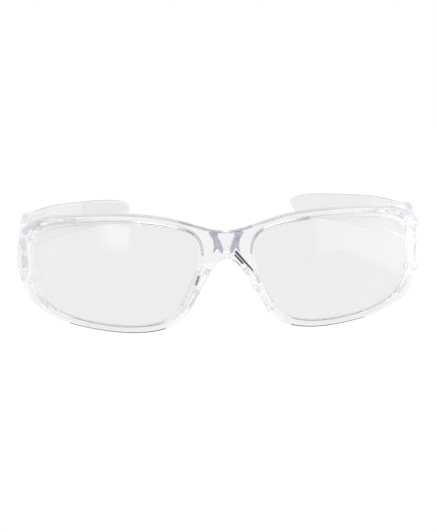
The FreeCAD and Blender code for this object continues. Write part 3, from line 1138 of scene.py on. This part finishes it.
def floor():
    """Plain white light table under the spectacles, with the window's light on its right side."""
    shape = Shape()
    edge = np.linspace(-FLOOR_REACH, FLOOR_REACH, 9)
    shape.sheet([[(x, y, 0.0) for x in edge] for y in edge])
    ground = shape.object("floor")
    ground.data.transform(Matrix.Scale(0.001, 4))
    material = bpy.data.materials.new("floor_white")
    material.use_nodes = True
    nodes = material.node_tree.nodes
    nodes.remove(nodes["Principled BSDF"])
    glow = nodes.new("ShaderNodeEmission")
    glow.inputs["Color"].default_value = (1, 1, 1, 1)
    link = material.node_tree.links.new
    place = nodes.new("ShaderNodeTexCoord")
    split = nodes.new("ShaderNodeSeparateXYZ")
    link(place.outputs["Object"], split.inputs["Vector"])
    across = nodes.new("ShaderNodeVectorMath")
    across.operation = "DOT_PRODUCT"
    across.inputs[1].default_value = POOL_WAY
    link(place.outputs["Object"], across.inputs[0])
    start = POOL_POINT.dot(POOL_WAY)
    shares = (
        smooth_step(nodes, link, split.outputs["X"], POOL_X),
        smooth_step(nodes, link, across.outputs["Value"], [start + edge for edge in POOL_ACROSS]),
    )
    both = product(nodes, link, *shares)
    added = nodes.new("ShaderNodeMath")
    added.operation = "MULTIPLY_ADD"
    added.inputs[1].default_value = POOL_BRIGHTNESS
    added.inputs[2].default_value = FLOOR_GLOW
    link(both, added.inputs[0])
    link(added.outputs["Value"], glow.inputs["Strength"])
    link(glow.outputs["Emission"], nodes["Material Output"].inputs["Surface"])
    ground.data.materials.append(material)
    return ground


def room():
    """White walls that darken a little towards the ceiling, a soft lamp overhead and windows."""
    world = bpy.data.worlds.new("studio")
    bpy.context.scene.world = world
    world.use_nodes = True
    nodes = world.node_tree.nodes
    link = world.node_tree.links.new
    place = nodes.new("ShaderNodeTexCoord")
    split = nodes.new("ShaderNodeSeparateXYZ")
    link(place.outputs["Generated"], split.inputs["Vector"])
    ramp = nodes.new("ShaderNodeValToRGB")
    ramp.color_ramp.interpolation = "EASE"
    for stop, height, colour in zip(ramp.color_ramp.elements, WALL_HEIGHTS, WALL_COLOURS):
        stop.position = height
        stop.color = colour
    link(split.outputs["Z"], ramp.inputs["Fac"])
    link(ramp.outputs["Color"], nodes["Background"].inputs["Color"])
    strength = smooth_step(nodes, link, split.outputs["Z"], LAMP_EDGE, (1.0, LAMP_STRENGTH))
    for window in WINDOWS:
        strength = with_window(nodes, link, strength, place.outputs["Generated"], *window)
    link(strength, nodes["Background"].inputs["Strength"])


def with_window(nodes, link, strength, direction, azimuth, left, right, low, high, brightness):
    """Adds a soft-edged window to the strength of the walls."""
    turned = nodes.new("ShaderNodeVectorRotate")
    turned.rotation_type = "Z_AXIS"
    turned.inputs["Angle"].default_value = -math.radians(azimuth)
    link(direction, turned.inputs["Vector"])
    split = nodes.new("ShaderNodeSeparateXYZ")
    link(turned.outputs["Vector"], split.inputs["Vector"])
    ahead = nodes.new("ShaderNodeMath")
    ahead.operation = "GREATER_THAN"
    ahead.inputs[1].default_value = 0.0
    link(split.outputs["X"], ahead.inputs[0])
    share = ahead.outputs["Value"]
    for axis, ends in (("Y", left), ("Y", right), ("Z", low), ("Z", high)):
        share = product(nodes, link, share, smooth_step(nodes, link, split.outputs[axis], ends))
    added = nodes.new("ShaderNodeMath")
    added.operation = "MULTIPLY_ADD"
    added.inputs[1].default_value = brightness
    link(share, added.inputs[0])
    link(strength, added.inputs[2])
    return added.outputs["Value"]


def camera():
    """Camera in front of the spectacles, above them and a little to one side."""
    azimuth = math.radians(CAMERA_AZIMUTH_DEG)
    elevation = math.radians(CAMERA_ELEVATION_DEG)
    back = Vector((
        math.sin(azimuth) * math.cos(elevation),
        -math.cos(azimuth) * math.cos(elevation),
        math.sin(elevation),
    ))
    eye = bpy.data.objects.new("camera", bpy.data.cameras.new("camera"))
    bpy.context.scene.collection.objects.link(eye)
    eye.data.lens = FOCAL_MM
    eye.data.sensor_width = SENSOR_MM
    eye.data.shift_x, eye.data.shift_y = SHIFT
    eye.data.clip_start = 0.01
    eye.location = Vector(CAMERA_AIM_MM) * 0.001 + back * CAMERA_DISTANCE
    facing = (-back).to_track_quat("-Z", "Y").to_matrix()
    roll = Matrix.Rotation(math.radians(CAMERA_ROLL_DEG), 3, "Z")
    eye.rotation_euler = (facing @ roll).to_euler()
    bpy.context.scene.camera = eye


# --- Build ------------------------------------------------------------------------------

frame_plastic = clear_plastic("clear_frame", (0.86, 0.86, 0.865), (0.0, 0.01), 0.000001)
lens_plastic = clear_plastic("clear_lens", (0.81, 0.81, 0.81), (0.0, 0.01), 0.000001)
# Temple tint kept grey on the upper part as painted shade, nearly clear below
temple_plastic = clear_plastic(
    "clear_temple", (0.81, 0.81, 0.81), (0.0, 0.03), 0.000002, clear_below=TINT_HEIGHTS
)
pad_plastic = clear_plastic(
    "soft_clear", (0.95, 0.95, 0.95), (0.12, 0.3), 0.00002,
    ior=1.5, absorbs=((0.4, 0.4, 0.4), 20.0),
)
pin_plastic = clear_plastic(
    "clear_pin", (0.9, 0.9, 0.93), (0.05, 0.2), 0.00001, ior=1.53, absorbs=((0.4, 0.4, 0.5), 20.0)
)
polished = clear_plastic("polished_clear", (0.965, 0.965, 0.97), (0.0, 0.01), 0.000001)
violet_tint = clear_plastic(
    "violet_tint", (0.34, 0.33, 0.45), (0.05, 0.15), 0.000004, lift=0.3, clouds_per_m=200.0
)
# Violet hue from the plastic's toner, darkened into painted shade for the bridge's hollows and the
# brow top over them
violet_painted_shade = clear_plastic(
    "violet_painted_shade", (0.0, 0.0, 0.1), (0.15, 0.35), 0.00001, lift=0.4, clouds_per_m=500.0
)
# Near-black paint: painted shade on the crease floors and a painted dark reflection on the lower
# front edge
painted_dark_shade = clear_plastic(
    "painted_dark_shade", (0.0005, 0.0005, 0.001), (0.0, 0.05), 0.000002, lift=0.001
)
# Grey painted shade along the rounded outer edges of the front and the temples' tops
edge_painted_shade = clear_plastic("edge_painted_shade", (0.5, 0.5, 0.51), (0.0, 0.05), 0.000002)
# Satin floor of the temple's sunk panel, tinted darker than the temple: painted shade
panel_painted_shade = clear_plastic("panel_painted_shade", (0.74, 0.74, 0.74), (0.1, 0.25), 0.000004)

front = finished(front_frame(), "front_frame", "front", frame_plastic)
surfaced(front, polished, on_untinted_front)
surfaced(front, edge_painted_shade, outline_painted_shade)
surfaced(front, violet_tint, on_brow_block)
surfaced(front, violet_painted_shade, in_bridge_painted_shade)
surfaced(front, painted_dark_shade, gets_painted_dark_shade)

left_lens = lens()
for shape, name in ((left_lens, "lens_left"), (left_lens.mirrored(), "lens_right")):
    piece = finished(shape.object("lens"), name, "front", lens_plastic)
    surfaced(piece, polished, on_lens_rim)

left_pad = nose_pad()
right_pad = mirrored_copy(left_pad)
for pad, name in ((left_pad, "nose_pad_left"), (right_pad, "nose_pad_right")):
    finished(pad, name, "front", pad_plastic)

left_temple = temple()
right_temple = mirrored_copy(left_temple)
combine(right_temple, "DIFFERENCE", panel_room().mirrored().object("panel"))
finished(left_temple, "temple_left", "left_arm", temple_plastic)
finished(right_temple, "temple_right", "right_arm", temple_plastic)
for arm in (left_temple, right_temple):
    surfaced(arm, edge_painted_shade, temple_top_painted_shade)
surfaced(right_temple, panel_painted_shade, in_panel_painted_shade)

for level in ("upper", "lower"):
    for side in ("left", "right"):
        node = frame["nodes"][f"{level}_pin_{side}"]
        node.data.materials.clear()
        node.data.materials.append(pin_plastic)

floor()
room()
camera()
bpy.context.scene.view_settings.view_transform = "Standard"
light_paths = bpy.context.scene.cycles
light_paths.max_bounces = LIGHT_BOUNCES
light_paths.glossy_bounces = LIGHT_BOUNCES
light_paths.transmission_bounces = LIGHT_BOUNCES
